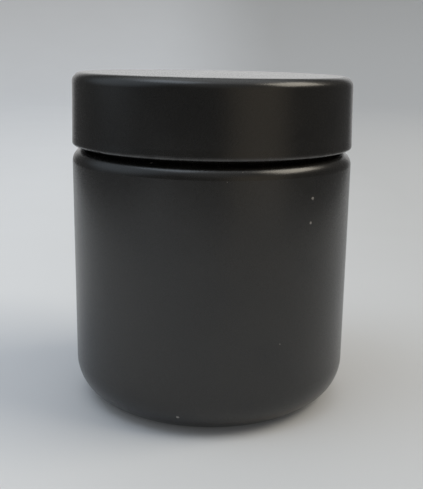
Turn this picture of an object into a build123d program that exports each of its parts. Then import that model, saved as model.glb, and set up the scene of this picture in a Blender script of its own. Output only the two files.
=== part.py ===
from build123d import *
from build123d.topology import SkipClean
from math import cos, pi, sin
import os

# A screw-top candle tin: a seamless drawn aluminium can with a threaded neck, and a smooth lid made of
# a drawn shell, a moulded thread insert pressed into it, and a foam liner. Millimetres, +Z up, origin at
# the centre of the base, on the surface that the tin stands on. The lid is screwed down.

# ---- Overall sizes ----
TOTAL_HEIGHT = 80.0
BODY_DIAMETER = 68.0
LID_HEIGHT = 16.9
LID_OVERHANG = 0.0        # how far the lid's lower lip stands out past the body wall
SHOULDER_GAP = 0.8        # from the top of the body's shoulder up to the lid's lower lip

# ---- Can ----
CAN_WALL = 0.45
BASE_CORNER_RADIUS = 9.8
STANDING_RING_WIDTH = 1.4
BASE_PANEL_RISE = 1.0     # how far the base panel is pressed up from the standing ring
BASE_STEP_RUN = 1.6       # radial width of the slope between the standing ring and the panel
BASE_BEND_RADIUS = 0.8
SHOULDER_RADIUS = 3.0
SHOULDER_RISE = 1.1       # how far the shoulder slopes up on its way in to the neck
NECK_ROOT_RADIUS = 0.7
RIM_CURL_RADIUS = 0.8
RIM_CURL_TURN = 265.0     # degrees that the rim's edge is rolled through

# ---- Lid shell ----
SHELL_WALL = 0.3
SHELL_TOP_CORNER_RADIUS = 2.3
SHELL_TAPER = 0.25        # how much smaller the skirt's radius is at the top than at the bottom
LIP_STAND_OUT = 0.06      # how far the curled lip stands out past the skirt
LIP_FLARE_HEIGHT = 1.2    # height of the slope between the skirt and the lip
LIP_BEND_RADIUS = 1.0
LIP_CURL_RADIUS = 0.45
LIP_CURL_TURN = 235.0     # degrees that the lip's edge is rolled through

# ---- Thread insert ----
INSERT_TOP_THICKNESS = 0.8
INSERT_SKIRT_THICKNESS = 0.9
INSERT_RIB_HEIGHT = 0.2
INSERT_RIB_WIDTH = 0.8
INSERT_RIB_COUNT = 36
INSERT_TO_LIP_GAP = 0.05
LINER_BEAD_HEIGHT = 0.6
LINER_BEAD_DEPTH = 1.6

# ---- Liner ----
LINER_THICKNESS = 1.15
LINER_EDGE_GAP = 0.3
LINER_FACE_GAP = 0.05     # above and below the liner

# ---- Thread ----
THREAD_PITCH = 4.0
THREAD_DEPTH = 0.95
THREAD_TURNS = 1.4
THREAD_WIDTH = 2.2        # along the axis, at the wall that the thread stands on
ROLLED_GROOVE_WIDTH = 1.5 # the hollow behind the neck's rolled thread
THREAD_RADIAL_GAP = 0.3
THREAD_UNDER_RIM = 3.4    # from the rim down to the top end of the neck's thread
THREAD_ABOVE_INSERT_EDGE = 1.8
THREAD_LIFT = 0.5         # how far the tightened lid's thread sits above the middle of the neck's groove
THREAD_FADE_TURNS = 0.09  # how much of a turn each end takes to sink into the wall
THREAD_PIECES_PER_TURN = 24
SECTIONS_PER_THREAD_PIECE = 3
THREAD_BURY = 0.12        # how far a thread's root reaches into the wall it stands on

# ---- Places worked out from the sizes ----
BODY_RADIUS = BODY_DIAMETER / 2
LID_RADIUS = BODY_RADIUS + LID_OVERHANG
LID_BOTTOM_Z = TOTAL_HEIGHT - LID_HEIGHT
SHOULDER_TOP_Z = LID_BOTTOM_Z - SHOULDER_GAP

SKIRT_BOTTOM_RADIUS = LID_RADIUS - LIP_STAND_OUT
SKIRT_TOP_RADIUS = SKIRT_BOTTOM_RADIUS - SHELL_TAPER
SKIRT_TOP_Z = TOTAL_HEIGHT - SHELL_TOP_CORNER_RADIUS
LIP_TOP_Z = LID_BOTTOM_Z + 2 * LIP_CURL_RADIUS

INSERT_TOP_Z = TOTAL_HEIGHT - SHELL_WALL
INSERT_UNDERSIDE_Z = INSERT_TOP_Z - INSERT_TOP_THICKNESS
INSERT_BOTTOM_Z = LIP_TOP_Z + INSERT_TO_LIP_GAP
INSERT_INNER_RADIUS = SKIRT_TOP_RADIUS - SHELL_WALL - INSERT_RIB_HEIGHT - INSERT_SKIRT_THICKNESS

LINER_RADIUS = INSERT_INNER_RADIUS - LINER_EDGE_GAP
LINER_TOP_Z = INSERT_UNDERSIDE_Z - LINER_FACE_GAP
LINER_BOTTOM_Z = LINER_TOP_Z - LINER_THICKNESS
RIM_TOP_Z = LINER_BOTTOM_Z - LINER_FACE_GAP

NECK_CREST_RADIUS = INSERT_INNER_RADIUS - THREAD_RADIAL_GAP
NECK_RADIUS = NECK_CREST_RADIUS - THREAD_DEPTH
NECK_THREAD_BOTTOM_Z = RIM_TOP_Z - THREAD_UNDER_RIM - THREAD_TURNS * THREAD_PITCH
INSERT_THREAD_BOTTOM_Z = INSERT_BOTTOM_Z + THREAD_ABOVE_INSERT_EDGE
NECK_INNER_RADIUS = NECK_RADIUS - CAN_WALL
RING_OUTER_RADIUS = BODY_RADIUS - BASE_CORNER_RADIUS
RING_INNER_RADIUS = RING_OUTER_RADIUS - STANDING_RING_WIDTH
PANEL_RADIUS = RING_INNER_RADIUS - BASE_STEP_RUN


# ---- Sheet metal and turned shapes ----
def turned(face):
    """A solid of revolution about Z from a face drawn in the XZ plane."""
    return revolve(face, axis=Axis.Z)


def profile(*lines):
    """The face inside closed lines whose X is the radius and whose Y is the height."""
    return Plane.XZ * make_face(Curve() + list(lines))


def set_in(corners, bends, distance):
    """Corners and bend radii of a line moved to its left by the distance, or to its right if negative."""
    points = [Vector(*corner) for corner in corners]
    ways = [(end - start).normalized() for start, end in zip(points, points[1:])]
    lefts = [Vector(-way.Y, way.X) for way in ways]
    moved = [points[0] + lefts[0] * distance]
    radii = []
    for index, bend in enumerate(bends):
        before, after = lefts[index], lefts[index + 1]
        moved.append(points[index + 1] + (before + after) * (distance / (1 + before.dot(after))))
        turns_left = ways[index].cross(ways[index + 1]).Z > 0
        radii.append(bend - distance if turns_left else bend + distance)
    moved.append(points[-1] + lefts[-1] * distance)
    return moved, radii


def sheet(corners, bends, curl_radius, curl_turn, distance):
    """The face of a sheet that follows a line from the axis and ends in an inward curl.

    The line is the sheet's outer surface, and the distance is its thickness, signed as in set_in. The curl
    starts level with its centre, and turns through the angle in degrees, clockwise if negative.
    """
    inner_corners, inner_bends = set_in(corners, bends, distance)
    end_radius, end_z = corners[-1]
    centre = (end_radius - curl_radius, end_z)
    outer = FilletPolyline(*corners, radius=bends)
    inner = FilletPolyline(*inner_corners, radius=inner_bends)
    outer_curl = CenterArc(centre, curl_radius, 0, curl_turn)
    inner_curl = CenterArc(centre, curl_radius - abs(distance), 0, curl_turn)
    ends = [Line(outer @ 0, inner @ 0), Line(outer_curl @ 1, inner_curl @ 1)]
    return profile(outer, outer_curl, inner_curl, inner, *ends)


def can_section():
    """The can's wall, from the middle of the base panel to the end of the rim's curl."""
    corners = [
        (0, BASE_PANEL_RISE),
        (PANEL_RADIUS, BASE_PANEL_RISE),
        (RING_INNER_RADIUS, 0),
        (BODY_RADIUS, 0),
        (BODY_RADIUS, SHOULDER_TOP_Z - SHOULDER_RISE),
        (NECK_RADIUS, SHOULDER_TOP_Z),
        (NECK_RADIUS, RIM_TOP_Z - RIM_CURL_RADIUS),
    ]
    bends = [BASE_BEND_RADIUS, BASE_BEND_RADIUS, BASE_CORNER_RADIUS, SHOULDER_RADIUS, NECK_ROOT_RADIUS]
    return sheet(corners, bends, RIM_CURL_RADIUS, RIM_CURL_TURN, CAN_WALL)


def shell_section():
    """The lid shell's wall, from the middle of its top to the end of the lip's curl."""
    corners = [
        (0, TOTAL_HEIGHT),
        (SKIRT_TOP_RADIUS, TOTAL_HEIGHT),
        (SKIRT_BOTTOM_RADIUS, LIP_TOP_Z + LIP_FLARE_HEIGHT),
        (LID_RADIUS, LIP_TOP_Z),
        (LID_RADIUS, LID_BOTTOM_Z + LIP_CURL_RADIUS),
    ]
    bends = [SHELL_TOP_CORNER_RADIUS, LIP_BEND_RADIUS, LIP_BEND_RADIUS]
    return sheet(corners, bends, LIP_CURL_RADIUS, -LIP_CURL_TURN, -SHELL_WALL)


# ---- Threads ----
def thread_section(angle, centre_z, wall_radius, height, width, outward):
    """One cross-section of a rounded thread, in the half plane through the axis at the angle."""
    direction = Vector(cos(angle), sin(angle), 0)
    sign = 1 if outward else -1

    def place(rise, along):
        return direction * (wall_radius + sign * rise) + Vector(0, 0, centre_z + along)

    low_root = place(-THREAD_BURY, -width / 2)
    high_root = place(-THREAD_BURY, width / 2)
    half = (height - THREAD_BURY) / 2
    ridge = Spline(low_root, place(half, -width / 4), place(height, 0), place(half, width / 4), high_root)
    return Face(Wire([ridge, Line(high_root, low_root)]))


def thread(start_angle, bottom_z, wall_radius, height, width, outward):
    """A right-hand thread that rises out of its wall at one end and sinks back into it at the other.

    It is a list of short solids end to end, because one long solid would wrap round the wall more than once.
    """
    piece_count = round(THREAD_TURNS * THREAD_PIECES_PER_TURN)
    gaps = SECTIONS_PER_THREAD_PIECE - 1

    def section(step):
        turns = THREAD_TURNS * step / (piece_count * gaps)
        to_end = min(turns, THREAD_TURNS - turns) / THREAD_FADE_TURNS
        share = 0.5 - 0.5 * cos(pi * min(max(to_end, 0), 1))
        rise = height * share - THREAD_BURY / 2 * (1 - share)
        angle = start_angle + 2 * pi * turns
        return thread_section(angle, bottom_z + THREAD_PITCH * turns, wall_radius, rise, width, outward)

    starts = range(0, piece_count * gaps, gaps)
    return [loft([section(start + index) for index in range(gaps + 1)]) for start in starts]


# ---- Pieces ----
def make_tin_body():
    """The can, with the thread rolled into its neck, so that it is raised outside and hollow inside."""
    ridge = thread(0, NECK_THREAD_BOTTOM_Z, NECK_RADIUS, THREAD_DEPTH, THREAD_WIDTH, True)
    groove = thread(0, NECK_THREAD_BOTTOM_Z, NECK_INNER_RADIUS, THREAD_DEPTH, ROLLED_GROOVE_WIDTH, True)
    with SkipClean():
        return turned(can_section()).fuse(*ridge).cut(*groove)


def make_lid_shell():
    """The drawn outer shell of the lid, with its lower edge curled inwards."""
    return turned(shell_section())


def cavity_line(gap):
    """The line of the shell's inside from its top to its lip, moved in by the gap."""
    top_radius = SKIRT_TOP_RADIUS - SHELL_WALL - gap
    bottom_radius = SKIRT_BOTTOM_RADIUS - SHELL_WALL - gap
    corner = SHELL_TOP_CORNER_RADIUS - SHELL_WALL
    return FilletPolyline(
        (0, INSERT_TOP_Z), (top_radius, INSERT_TOP_Z), (bottom_radius, INSERT_BOTTOM_Z), radius=corner
    )


def make_lid_thread_insert():
    """The moulded inner cap: a disc, a skirt with ribs outside, and the thread and liner bead inside."""
    outside = cavity_line(INSERT_RIB_HEIGHT)
    inside = Polyline(
        outside @ 1,
        (INSERT_INNER_RADIUS, INSERT_BOTTOM_Z),
        (INSERT_INNER_RADIUS, INSERT_UNDERSIDE_Z),
        (0, INSERT_UNDERSIDE_Z),
        (0, INSERT_TOP_Z),
    )
    with SkipClean():
        cap = turned(profile(outside, inside)).fuse(liner_bead(), *insert_ribs())
        return cap.fuse(*insert_thread())


def insert_ribs():
    """The ribs that wedge the insert inside the shell, as one group of solids."""
    root_radius = SKIRT_TOP_RADIUS - SHELL_WALL - INSERT_RIB_HEIGHT - INSERT_SKIRT_THICKNESS / 2
    fence = cavity_line(0)
    room = turned(profile(fence, Polyline(fence @ 1, (0, INSERT_BOTTOM_Z), (0, INSERT_TOP_Z))))
    height = SKIRT_TOP_Z - INSERT_BOTTOM_Z
    reach = BODY_RADIUS - root_radius
    middle = Pos(root_radius + reach / 2, 0, INSERT_BOTTOM_Z + height / 2)
    rib = middle * Box(reach, INSERT_RIB_WIDTH, height) & room
    return [Rot(0, 0, 360 * index / INSERT_RIB_COUNT) * rib for index in range(INSERT_RIB_COUNT)]


def liner_bead():
    """The ring that keeps the liner up against the insert's ceiling."""
    top_z = LINER_BOTTOM_Z - LINER_FACE_GAP
    middle_z = top_z - LINER_BEAD_DEPTH / 2
    wall = INSERT_INNER_RADIUS + THREAD_BURY
    crest = ThreePointArc(
        (wall, top_z), (INSERT_INNER_RADIUS - LINER_BEAD_HEIGHT, middle_z), (wall, top_z - LINER_BEAD_DEPTH)
    )
    return turned(profile(crest, Line(crest @ 1, crest @ 0)))


def insert_thread():
    """The lid's own thread, which lies under the neck's thread and follows the same helix."""
    from_neck = INSERT_THREAD_BOTTOM_Z - NECK_THREAD_BOTTOM_Z + THREAD_PITCH / 2 - THREAD_LIFT
    start_angle = 2 * pi * from_neck / THREAD_PITCH
    bottom_z = INSERT_THREAD_BOTTOM_Z
    return thread(start_angle, bottom_z, INSERT_INNER_RADIUS, THREAD_DEPTH, THREAD_WIDTH, False)


def make_lid_liner():
    """The foam disc that the rim presses into."""
    disc = Cylinder(LINER_RADIUS, LINER_THICKNESS, align=(Align.CENTER, Align.CENTER, Align.MIN))
    return Pos(0, 0, LINER_BOTTOM_Z) * disc


def main():
    os.makedirs("parts", exist_ok=True)
    pieces = {
        "tin_body": make_tin_body(),
        "lid_shell": make_lid_shell(),
        "lid_thread_insert": make_lid_thread_insert(),
        "lid_liner": make_lid_liner(),
    }
    for name, piece in pieces.items():
        export_step(piece, f"parts/{name}.step")
        box = piece.bounding_box()
        print(f"{name}: {piece.volume:.1f} mm3, {box.size.X:.2f} x {box.size.Y:.2f} x {box.size.Z:.2f} mm")


main()
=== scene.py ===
import math

import bmesh
import bpy
from mathutils import Matrix, Vector


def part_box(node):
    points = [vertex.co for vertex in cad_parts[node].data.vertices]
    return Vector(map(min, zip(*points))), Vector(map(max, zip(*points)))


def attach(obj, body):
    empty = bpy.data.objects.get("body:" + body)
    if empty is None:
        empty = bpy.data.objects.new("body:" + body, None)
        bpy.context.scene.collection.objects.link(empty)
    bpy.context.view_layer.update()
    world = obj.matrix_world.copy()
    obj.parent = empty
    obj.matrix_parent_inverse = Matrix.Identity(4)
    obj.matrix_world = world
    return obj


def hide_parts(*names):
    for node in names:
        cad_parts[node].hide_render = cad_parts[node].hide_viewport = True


# The candle tin's looks: satin black enamel on the can and the lid's shell, lacquered aluminium inside the
# can, a moulded black insert and a white foam liner. Metres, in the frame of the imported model.

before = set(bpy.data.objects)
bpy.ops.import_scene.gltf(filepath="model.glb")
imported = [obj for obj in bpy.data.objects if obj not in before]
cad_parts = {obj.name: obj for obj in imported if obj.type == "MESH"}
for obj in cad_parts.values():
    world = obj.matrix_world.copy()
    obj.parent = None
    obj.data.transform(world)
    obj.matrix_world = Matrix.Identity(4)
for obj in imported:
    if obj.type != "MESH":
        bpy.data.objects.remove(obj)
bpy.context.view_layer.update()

MM = 0.001

# ---- Camera: where it stands and how wide it sees ----
SENSOR_SIZE = 36.0            # the sensor's long side, in Blender's millimetres
FOCAL_OVER_HEIGHT = 1.633     # focal length over the height of the image
EYE = Vector((0, -197.5 * MM, 85.4 * MM))
LOOK_DOWN = 0.230             # radians
LOOK_RIGHT = 0.0304
ROLL = 0.0207
SHIFT_X = -0.048
SHIFT_Y = -0.0133

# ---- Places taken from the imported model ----
_, CAN_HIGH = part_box("tin_body")
SHELL_LOW, SHELL_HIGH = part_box("lid_shell")
LINER_LOW, LINER_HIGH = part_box("lid_liner")
SHOULDER_GAP = 0.8 * MM       # from the top of the can's shoulder up to the lid
NECK_FOOT_Z = SHELL_LOW.z - SHOULDER_GAP + 0.4 * MM
RIM_PAINT_Z = CAN_HIGH.z - 1.7 * MM
CAN_MIDDLE_Z = CAN_HIGH.z / 2
NECK_CREST_RADIUS = 31.99 * MM

# ---- Colours and finishes ----
ENAMEL_DARK = (0.0072, 0.0066, 0.0056, 1)
ENAMEL_LIGHT = (0.0105, 0.0096, 0.0080, 1)
ENAMEL_GLOSS = 0.68           # specular level; 0.5 is plain lacquer
ENAMEL_ROUGHNESS = 0.25
DUST = (0.24, 0.23, 0.215, 1)
# a lighter grey: rubbed paint along the thread's crest, and a painted highlight along the lid's lower lip
RUBBED_AND_PAINTED_HIGHLIGHT = (0.055, 0.054, 0.053, 1)
BARE_ALUMINIUM = (0.78, 0.77, 0.75, 1)
LACQUER_TINT = (0.72, 0.69, 0.62, 1)
PLASTIC_DARK = (0.016, 0.016, 0.017, 1)
PLASTIC_LIGHT = (0.024, 0.024, 0.025, 1)
FOAM_DARK = (0.74, 0.74, 0.72, 1)
FOAM_LIGHT = (0.82, 0.82, 0.80, 1)
FOAM_PRESSED = (0.6, 0.6, 0.57, 1)
CLOUD_SIZE = 14 * MM          # faint light and dark areas in the enamel
GRAIN_SIZE = 0.16 * MM        # the satin grain
GRAIN_DEPTH = 0.0012 * MM
PEEL_SIZE = 0.9 * MM          # orange peel
PEEL_DEPTH = 0.004 * MM
DUST_SPACING = 3.2 * MM
DUST_SIZE = 0.42 * MM
DUST_RARITY = 0.76            # the share of the spots that stay clean
DUST_HEIGHT = 0.05 * MM
RUB_SIZE = 5 * MM             # patches that handling has made a little smoother
LIP_HIGHLIGHT_FULL = 0.25 * MM      # painted highlight: the lid's lip is painted lighter, fully up to here above its edge
LIP_HIGHLIGHT_END = 0.9 * MM        # and not at all from here
TOP_FADE_LOW = 0.4 * MM       # the top's scratches fade out between these depths under it
TOP_FADE_HIGH = 0.1 * MM
SCRATCH_TURNS = (0.5, 2.1)    # radians: the two ways that the scratches run
SCRATCH_SPACING = 0.5 * MM
SCRATCH_DEPTH = 0.004 * MM
SCRATCH_SQUEEZE = 0.05        # the pattern's scale along the scratches over its scale across them
STREAK_SIZE = 0.35 * MM       # drawing marks on the bare aluminium
STREAK_DEPTH = 0.004 * MM
STREAK_SQUEEZE = 0.03         # the same for the marks, which run up the wall
FOAM_CELL = 0.45 * MM
FOAM_CELL_DEPTH = 0.02 * MM
FOAM_SCATTER = 1.0 * MM       # how far light spreads inside the foam

# ---- The mark that the rim presses into the liner ----
SEAL_RADIUS = 30.24 * MM      # middle of the rim's curl
SEAL_HALF_WIDTH = 0.55 * MM
SEAL_DEPTH = 0.09 * MM
SEAL_FADE_FROM = 0.2 * MM     # the darker ring is even up to here from its middle
SEAL_FADE_TO = 0.7 * MM       # and gone from here

# ---- Floor ----
PAPER_COLOR = (0.78, 0.795, 0.82, 1)
# the paper's colour at its right-hand side, a painted shade
PAPER_PAINTED_SHADE = (0.54, 0.545, 0.55, 1)
PAINTED_SHADE_FROM_X = -0.14          # painted shade: the paper is painted gently darker to the right, from here
PAINTED_SHADE_TO_X = 0.16             # to here
PAPER_FIBRE = 0.5 * MM
PAPER_PAINTED_GLOW = 0.03             # painted glow: the paper gives off a little light, which lightens the tin's shadow on it
PAPER_PAINTED_GLOW_COLOR = (0.94, 0.97, 1.0, 1)
PAPER_HALF_WIDTH = 0.27       # only this paper shows in the tin's gloss
PAPER_FRONT = -0.30
PAPER_BACK = 1.0
SWEEP_RADIUS = 1.1            # where the surround starts to curve up
SWEEP_BEND = 0.5
SWEEP_TOP = 1.6
SWEEP_DROP = 0.4 * MM         # how far the surround lies below the paper

# ---- Light ----
# Windows: the way to the middle, the distance from the tin, the sides, the power in watts, and the colour.
WINDOWS = {
    "warm_window": ((0.68, -0.07, 0.68), 1.2, (0.8, 0.58), 6.8, (1.0, 0.92, 0.78)),
    "cool_window": ((-0.36, -0.24, 0.90), 1.3, (0.8, 0.5), 1.9, (0.74, 0.86, 1.0)),
}
# Soft patches of light in the room round the tin: the way to the middle, the angle to the edge in degrees,
# the strength in the middle, and the colour.
ROOM_PATCHES = {
    "ceiling": ((0.0, 0.1, 1.0), 48, 0.96, (0.94, 0.97, 1.0)),
    "back_wall": ((0.0, 1.0, 0.06), 36, 1.00, (1.0, 1.0, 1.0)),
    "left_window": ((-0.80, -0.10, 0.58), 45, 0.62, (0.76, 0.88, 1.0)),
    "right_wall": ((0.60, -0.80, 0.10), 34, 0.34, (1.0, 0.84, 0.62)),
    "front_ceiling": ((0.0, -0.70, 0.72), 38, 0.20, (0.96, 0.98, 1.0)),
}
ROOM_DIM = 0.10               # what the rest of the room gives
SEEN_ROOM = (0.93, 0.95, 1.0, 1)
SEEN_ROOM_STRENGTH = 0.55


# ---- Shader building ----
class Nodes:
    """A node tree, with one short call for each kind of node. Each call gives back a socket."""

    def __init__(self, tree):
        self.nodes = tree.nodes
        self.links = tree.links
        place = self.nodes.new("ShaderNodeTexCoord")
        self.place = place.outputs["Object"]
        self.normal = place.outputs["Normal"]
        self.generated = place.outputs["Generated"]

    def feed(self, socket, value):
        if isinstance(value, bpy.types.NodeSocket):
            self.links.new(value, socket)
        else:
            socket.default_value = value

    def math(self, operation, first, second=0.0, third=0.0):
        node = self.nodes.new("ShaderNodeMath")
        node.operation = operation
        for socket, value in zip(node.inputs, (first, second, third)):
            self.feed(socket, value)
        return node.outputs[0]

    def split(self, vector):
        node = self.nodes.new("ShaderNodeSeparateXYZ")
        self.feed(node.inputs[0], vector)
        return node.outputs

    def join(self, x, y, z):
        node = self.nodes.new("ShaderNodeCombineXYZ")
        for socket, value in zip(node.inputs, (x, y, z)):
            self.feed(socket, value)
        return node.outputs[0]

    def ramp(self, value, low, high, start=0.0, end=1.0):
        """start below low, end above high, and a smooth step between them."""
        node = self.nodes.new("ShaderNodeMapRange")
        node.interpolation_type = "SMOOTHSTEP"
        for socket, number in zip(node.inputs, (value, low, high, start, end)):
            self.feed(socket, number)
        return node.outputs[0]

    def noise(self, size, detail=2.0, roughness=0.5, at=None):
        """Cloudy noise from 0 to 1 whose features are about the size across, in metres."""
        node = self.nodes.new("ShaderNodeTexNoise")
        self.feed(node.inputs["Vector"], at or self.place)
        node.inputs["Scale"].default_value = 1 / size
        node.inputs["Detail"].default_value = detail
        node.inputs["Roughness"].default_value = roughness
        return node.outputs[0]

    def cells(self, size, at=None):
        """Voronoi cells: the distance to the nearest cell's point in metres, and the cell's own colour."""
        node = self.nodes.new("ShaderNodeTexVoronoi")
        self.feed(node.inputs["Vector"], at or self.place)
        node.inputs["Scale"].default_value = 1 / size
        return self.math("MULTIPLY", node.outputs["Distance"], size), node.outputs["Color"]

    def mix(self, share, first, second):
        node = self.nodes.new("ShaderNodeMix")
        node.data_type = "RGBA"
        self.feed(node.inputs[0], share)
        self.feed(node.inputs[6], first)
        self.feed(node.inputs[7], second)
        return node.outputs[2]

    def bump(self, height, depth, strength=1.0, under=None):
        """A bump whose height of 1 stands for the depth in metres."""
        node = self.nodes.new("ShaderNodeBump")
        node.inputs["Strength"].default_value = strength
        node.inputs["Distance"].default_value = depth
        self.feed(node.inputs["Height"], height)
        if under:
            self.feed(node.inputs["Normal"], under)
        return node.outputs[0]


class Shader(Nodes):
    """A material with one Principled surface, and the patterns that several materials share."""

    def __init__(self, name):
        self.material = bpy.data.materials.new(name)
        self.material.use_nodes = True
        super().__init__(self.material.node_tree)
        self.surface = self.nodes["Principled BSDF"]

    def set(self, **values):
        """Color, roughness, metallic and normal of the surface: numbers or sockets."""
        for key, value in values.items():
            name = "Base Color" if key == "color" else key.capitalize()
            self.feed(self.surface.inputs[name], value)

    def radius(self):
        """The distance from the Z axis."""
        x, y, _ = self.split(self.place)
        square = self.math("MULTIPLY_ADD", x, x, self.math("MULTIPLY", y, y))
        return self.math("SQRT", square)

    def facing_out(self):
        """How much the surface faces away from the Z axis, times its radius."""
        x, y, _ = self.split(self.place)
        nx, ny, _ = self.split(self.normal)
        return self.math("ADD", self.math("MULTIPLY", x, nx), self.math("MULTIPLY", y, ny))

    def specks(self, spacing, size, rarity):
        """A mask of small dots of dust: one in some of the cells, of uneven size."""
        distance, colour = self.cells(spacing)
        red, green, _ = self.split(colour)
        chosen = self.ramp(red, rarity, rarity + 0.01)
        reach = self.math("MULTIPLY_ADD", green, size, size * 0.4)
        ragged = self.math("MULTIPLY_ADD", self.noise(size), size, distance)
        inside = self.math("LESS_THAN", ragged, reach)
        return self.math("MULTIPLY", chosen, inside)


# ---- Materials ----
def enamel_layers(s):
    """Colour, roughness and bump of satin enamel, with orange peel, faint clouding and a little dust."""
    clouds = s.noise(CLOUD_SIZE, detail=3)
    grain = s.noise(GRAIN_SIZE, detail=2)
    peel = s.noise(PEEL_SIZE, detail=1)
    dust = s.specks(DUST_SPACING, DUST_SIZE, DUST_RARITY)
    color = s.mix(s.ramp(clouds, 0.35, 0.65), ENAMEL_DARK, ENAMEL_LIGHT)
    color = s.mix(dust, color, DUST)
    rubs = s.ramp(s.noise(RUB_SIZE, detail=4, roughness=0.65), 0.5, 0.75)
    roughness = s.math("MULTIPLY_ADD", rubs, -0.03, ENAMEL_ROUGHNESS)
    roughness = s.math("MULTIPLY_ADD", grain, 0.04, roughness)
    bump = s.bump(peel, PEEL_DEPTH)
    bump = s.bump(grain, GRAIN_DEPTH, under=bump)
    bump = s.bump(dust, DUST_HEIGHT, under=bump)
    s.surface.inputs["Specular IOR Level"].default_value = ENAMEL_GLOSS
    return color, roughness, bump


def can_material():
    """Enamel outside and over the rim, lacquered aluminium inside, rubbed along the thread's crest."""
    s = Shader("can_enamel")
    _, _, z = s.split(s.place)
    on_neck = s.math("GREATER_THAN", z, NECK_FOOT_Z)
    on_rim = s.math("GREATER_THAN", z, RIM_PAINT_Z)
    painted = s.math("MAXIMUM", s.math("GREATER_THAN", can_outward(s, z, on_neck), 0.0), on_rim)
    color, roughness, bump = enamel_layers(s)

    crest = s.ramp(s.radius(), NECK_CREST_RADIUS - 0.12 * MM, NECK_CREST_RADIUS - 0.02 * MM)
    crest = s.math("MULTIPLY", crest, s.math("MULTIPLY", on_neck, s.ramp(s.noise(1.2 * MM), 0.42, 0.6)))
    color = s.mix(crest, color, RUBBED_AND_PAINTED_HIGHLIGHT)

    streaks = drawn_streaks(s)
    inside_color = s.mix(s.ramp(s.noise(9 * MM, detail=3), 0.3, 0.7), BARE_ALUMINIUM, LACQUER_TINT)
    inside_roughness = s.math("MULTIPLY_ADD", streaks, 0.16, 0.24)
    s.set(
        color=s.mix(painted, inside_color, color),
        roughness=blend_numbers(s, painted, inside_roughness, roughness),
        metallic=s.math("SUBTRACT", 1.0, painted),
        normal=s.bump(streaks, STREAK_DEPTH, under=bump),
    )
    return s.material


def can_outward(s, z, on_neck):
    """Above 0 where the can's surface faces out: away from the axis, or on the body from its middle."""
    _, _, nz = s.split(s.normal)
    above_middle = s.math("SUBTRACT", z, CAN_MIDDLE_Z)
    lever = s.math("MULTIPLY", s.math("SUBTRACT", 1.0, on_neck), above_middle)
    return s.math("MULTIPLY_ADD", nz, lever, s.facing_out())


def drawn_streaks(s):
    """Fine lines that run up the wall, as drawing the can through its ring leaves them."""
    x, y, z = s.split(s.place)
    return s.noise(STREAK_SIZE, detail=2, at=s.join(x, y, s.math("MULTIPLY", z, STREAK_SQUEEZE)))


def blend_numbers(s, share, first, second):
    return s.math("MULTIPLY_ADD", s.math("SUBTRACT", second, first), share, first)


def lid_material():
    """Enamel with fine scratches on the top, and a painted highlight: the lower lip painted lighter."""
    s = Shader("lid_enamel")
    _, _, z = s.split(s.place)
    color, roughness, bump = enamel_layers(s)
    # painted highlight: the lower lip is painted lighter along its edge, broken up by noise
    lip = s.ramp(z, SHELL_LOW.z + LIP_HIGHLIGHT_FULL, SHELL_LOW.z + LIP_HIGHLIGHT_END, 1.0, 0.0)
    lip = s.math("MULTIPLY", lip, s.ramp(s.noise(2.5 * MM, detail=3), 0.25, 0.6, 0.35, 1.0))
    color = s.mix(lip, color, RUBBED_AND_PAINTED_HIGHLIGHT)
    on_top = s.ramp(z, SHELL_HIGH.z - TOP_FADE_LOW, SHELL_HIGH.z - TOP_FADE_HIGH)
    scratches = s.math("MULTIPLY", on_top, fine_scratches(s))
    roughness = s.math("MULTIPLY_ADD", scratches, -0.12, roughness)
    s.set(color=color, roughness=roughness, normal=s.bump(scratches, -SCRATCH_DEPTH, under=bump))
    return s.material


def fine_scratches(s):
    """Thin curved hairlines in two directions."""
    x, y, _ = s.split(s.place)
    wobble = s.math("MULTIPLY", s.noise(9 * MM), 3 * MM)
    lines = []
    for turn in SCRATCH_TURNS:
        across = s.math("MULTIPLY_ADD", x, math.cos(turn), s.math("MULTIPLY", y, math.sin(turn)))
        along = s.math("MULTIPLY_ADD", x, -math.sin(turn), s.math("MULTIPLY", y, math.cos(turn)))
        stretched = s.join(s.math("ADD", across, wobble), s.math("MULTIPLY", along, SCRATCH_SQUEEZE), 0.0)
        lines.append(s.ramp(s.noise(SCRATCH_SPACING, detail=1, at=stretched), 0.70, 0.74))
    return s.math("MAXIMUM", *lines)


def insert_material():
    """Matt black polypropylene with a fine moulded grain and faint flow marks."""
    s = Shader("insert_plastic")
    _, _, z = s.split(s.place)
    flow = s.noise(6 * MM, detail=4, at=s.join(s.radius(), z, 0.0))
    grain = s.noise(0.12 * MM, detail=2)
    s.set(
        color=s.mix(flow, PLASTIC_DARK, PLASTIC_LIGHT),
        roughness=s.math("MULTIPLY_ADD", flow, 0.12, 0.42),
        normal=s.bump(grain, 0.006 * MM),
    )
    return s.material


def foam_material():
    """White expanded foam with a fine closed-cell skin, pressed darker where the rim seals on it."""
    s = Shader("liner_foam")
    distance, _ = s.cells(FOAM_CELL)
    shade = s.noise(4 * MM, detail=3)
    off_seal = s.math("ABSOLUTE", s.math("SUBTRACT", s.radius(), SEAL_RADIUS))
    seal = s.ramp(off_seal, SEAL_FADE_FROM, SEAL_FADE_TO, 1.0, 0.0)
    color = s.mix(shade, FOAM_DARK, FOAM_LIGHT)
    color = s.mix(s.math("MULTIPLY", seal, 0.5), color, FOAM_PRESSED)
    cell_walls = s.ramp(distance, 0.0, 0.25 * MM)
    s.set(color=color, roughness=0.62, normal=s.bump(cell_walls, FOAM_CELL_DEPTH))
    s.surface.inputs["Subsurface Weight"].default_value = 0.12
    s.surface.inputs["Subsurface Radius"].default_value = (FOAM_SCATTER, FOAM_SCATTER, FOAM_SCATTER)
    return s.material


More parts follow.
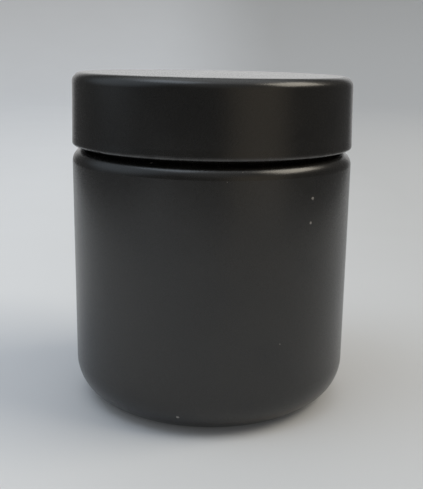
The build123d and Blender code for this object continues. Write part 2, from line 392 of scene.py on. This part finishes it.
def paper_material():
    """The pale matt surface that the tin stands on, with painted shade that makes it a little darker to
    the right, and a faint painted glow.
    """
    s = Shader("paper")
    fibres = s.noise(PAPER_FIBRE, detail=4, roughness=0.7)
    x, _, _ = s.split(s.place)
    # painted shade: the paper darkens to the right, with faint random tone on top
    painted_shade_to_right = s.ramp(x, PAINTED_SHADE_FROM_X, PAINTED_SHADE_TO_X)
    shade = s.math("MULTIPLY_ADD", s.noise(60 * MM, detail=2), 0.1, painted_shade_to_right)
    s.set(
        color=s.mix(shade, PAPER_COLOR, PAPER_PAINTED_SHADE),
        roughness=0.8,
        normal=s.bump(fibres, 0.01 * MM),
    )
    # painted glow, which lightens the shadows on the paper
    s.surface.inputs["Emission Color"].default_value = PAPER_PAINTED_GLOW_COLOR
    s.surface.inputs["Emission Strength"].default_value = PAPER_PAINTED_GLOW
    return s.material


# ---- The rebuilt liner ----
def lathe(name, outline, steps):
    """A closed solid turned about Z from (radius, height) points that start and end on the axis."""
    inner = outline[1:-1]
    vertices = [(0, 0, outline[0][1]), (0, 0, outline[-1][1])]
    for index in range(steps):
        angle = 2 * math.pi * index / steps
        vertices += [(r * math.cos(angle), r * math.sin(angle), z) for r, z in inner]
    count = len(inner)
    faces = []
    for index in range(steps):
        here = 2 + index * count
        there = 2 + (index + 1) % steps * count
        faces.append((0, there, here))
        faces.append((1, here + count - 1, there + count - 1))
        faces += [(here + k, there + k, there + k + 1, here + k + 1) for k in range(count - 1)]
    mesh = bpy.data.meshes.new(name)
    mesh.from_pydata(vertices, [], faces)
    mesh.shade_smooth()
    piece = bpy.data.objects.new(name, mesh)
    bpy.context.scene.collection.objects.link(piece)
    return piece


def liner_outline():
    """Half of the liner's section: a disc with soft edges, and the rim's mark in its underside."""
    edge = 0.12 * MM
    turns = (0, 0.52, 1.05, math.pi / 2)
    radius = LINER_HIGH.x
    low, high = LINER_LOW.z, LINER_HIGH.z
    underside = []
    for step in range(-8, 9):
        share = step / 8
        dip = SEAL_DEPTH * (0.5 + 0.5 * math.cos(math.pi * share))
        underside.append((SEAL_RADIUS + SEAL_HALF_WIDTH * share, low + dip))
    corner_low = [(radius - edge + edge * math.sin(a), low + edge - edge * math.cos(a)) for a in turns]
    corner_high = [(r, high + low - z) for r, z in reversed(corner_low)]
    rings = [(radius * share, low) for share in (0.3, 0.6, 0.85)]
    top_rings = [(r, high) for r, _ in reversed(rings)]
    return [(0, low)] + rings + underside + corner_low + corner_high + top_rings + [(0, high)]


def make_liner():
    liner = lathe("foam_liner", liner_outline(), 144)
    liner.data.materials.append(foam_material())
    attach(liner, "liner")
    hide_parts("lid_liner")


# ---- Finishes on the CAD nodes ----
def dress(node, material):
    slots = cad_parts[node].material_slots
    for slot in slots:
        slot.material = material


def dress_nodes():
    dress("tin_body", can_material())
    dress("lid_shell", lid_material())
    dress("lid_thread_insert", insert_material())


# ---- Floor, light and camera ----
def make_paper():
    """The pale sheet the tin stands on, which ends a little way in front of it."""
    mesh = bpy.data.meshes.new("paper")
    near, far, side = PAPER_FRONT, PAPER_BACK, PAPER_HALF_WIDTH
    corners = [(-side, near, 0), (side, near, 0), (side, far, 0), (-side, far, 0)]
    mesh.from_pydata(corners, [], [(0, 1, 2, 3)])
    paper = bpy.data.objects.new("paper", mesh)
    bpy.context.scene.collection.objects.link(paper)
    paper.data.materials.append(paper_material())
    return paper


def make_surround(material):
    """A pale dish all round, so that no horizon shows. Only the camera sees it."""
    bend = [
        (SWEEP_RADIUS + SWEEP_BEND * math.sin(a), SWEEP_BEND * (1 - math.cos(a)))
        for a in (math.pi / 2 * step / 12 for step in range(13))
    ]
    outline = [(0, 0), (0.2, 0), (0.6, 0)] + bend + [(bend[-1][0], SWEEP_TOP), (0, SWEEP_TOP)]
    dish = lathe("surround", outline, 96)
    top = [face.index for face in dish.data.polygons if face.center.z > SWEEP_TOP - MM]
    mesh = bmesh.new()
    mesh.from_mesh(dish.data)
    mesh.faces.ensure_lookup_table()
    bmesh.ops.delete(mesh, geom=[mesh.faces[index] for index in top], context="FACES")
    mesh.to_mesh(dish.data)
    mesh.free()
    dish.location.z = -SWEEP_DROP
    dish.data.materials.append(material)
    dish.visible_diffuse = False
    dish.visible_glossy = False
    dish.visible_transmission = False
    dish.visible_shadow = False


def area_light(name, toward, distance, size, power, color):
    """A soft light in a direction from the tin, turned to face it."""
    data = bpy.data.lights.new(name, "AREA")
    data.shape = "RECTANGLE"
    data.size, data.size_y = size
    data.energy = power
    data.color = color
    light = bpy.data.objects.new(name, data)
    way = Vector(toward).normalized()
    light.location = Vector((0, 0, CAN_MIDDLE_Z)) + way * distance
    light.rotation_mode = "QUATERNION"
    light.rotation_quaternion = (-way).to_track_quat("-Z", "Y")
    light.visible_camera = False
    bpy.context.scene.collection.objects.link(light)


def make_lights():
    for name, window in WINDOWS.items():
        area_light(name, *window)


def patch(s, toward, angle):
    """A soft round patch of the room: 1 in the middle, and 0 past the angle."""
    x, y, z = s.split(s.generated)
    way = Vector(toward).normalized()
    along = s.math("MULTIPLY", z, way.z)
    along = s.math("MULTIPLY_ADD", y, way.y, along)
    along = s.math("MULTIPLY_ADD", x, way.x, along)
    return s.ramp(along, math.cos(math.radians(angle)), 1.0)


def make_room():
    """Light from all round, in soft patches. The camera sees an even pale room instead."""
    world = bpy.data.worlds.new("room")
    world.use_nodes = True
    bpy.context.scene.world = world
    s = Nodes(world.node_tree)
    total = [ROOM_DIM, ROOM_DIM, ROOM_DIM]
    for toward, angle, strength, color in ROOM_PATCHES.values():
        share = patch(s, toward, angle)
        for channel, part in enumerate(color):
            total[channel] = s.math("MULTIPLY_ADD", share, strength * part, total[channel])
    light_path = s.nodes.new("ShaderNodeLightPath")
    seen = light_path.outputs["Is Camera Ray"]
    background = s.nodes["Background"]
    s.feed(background.inputs["Color"], s.mix(seen, s.join(*total), SEEN_ROOM))
    s.feed(background.inputs["Strength"], s.math("MULTIPLY_ADD", seen, SEEN_ROOM_STRENGTH - 1.0, 1.0))


def make_camera():
    forward = Vector((
        math.sin(LOOK_RIGHT) * math.cos(LOOK_DOWN),
        math.cos(LOOK_RIGHT) * math.cos(LOOK_DOWN),
        -math.sin(LOOK_DOWN),
    ))
    level = Vector((math.cos(LOOK_RIGHT), -math.sin(LOOK_RIGHT), 0))
    upright = level.cross(forward)
    right = level * math.cos(ROLL) + upright * math.sin(ROLL)
    up = upright * math.cos(ROLL) - level * math.sin(ROLL)
    turn = Matrix((right, up, -forward)).transposed()
    data = bpy.data.cameras.new("camera")
    data.sensor_width = SENSOR_SIZE
    data.lens = SENSOR_SIZE * FOCAL_OVER_HEIGHT
    data.shift_x = SHIFT_X
    data.shift_y = SHIFT_Y
    data.clip_start = 0.01
    camera = bpy.data.objects.new("camera", data)
    camera.matrix_world = Matrix.Translation(EYE) @ turn.to_4x4()
    bpy.context.scene.collection.objects.link(camera)
    bpy.context.scene.camera = camera


def set_color_view():
    bpy.context.scene.view_settings.view_transform = "Standard"


dress_nodes()
make_liner()
paper = make_paper()
make_surround(paper.data.materials[0])
make_lights()
make_room()
make_camera()
set_color_view()
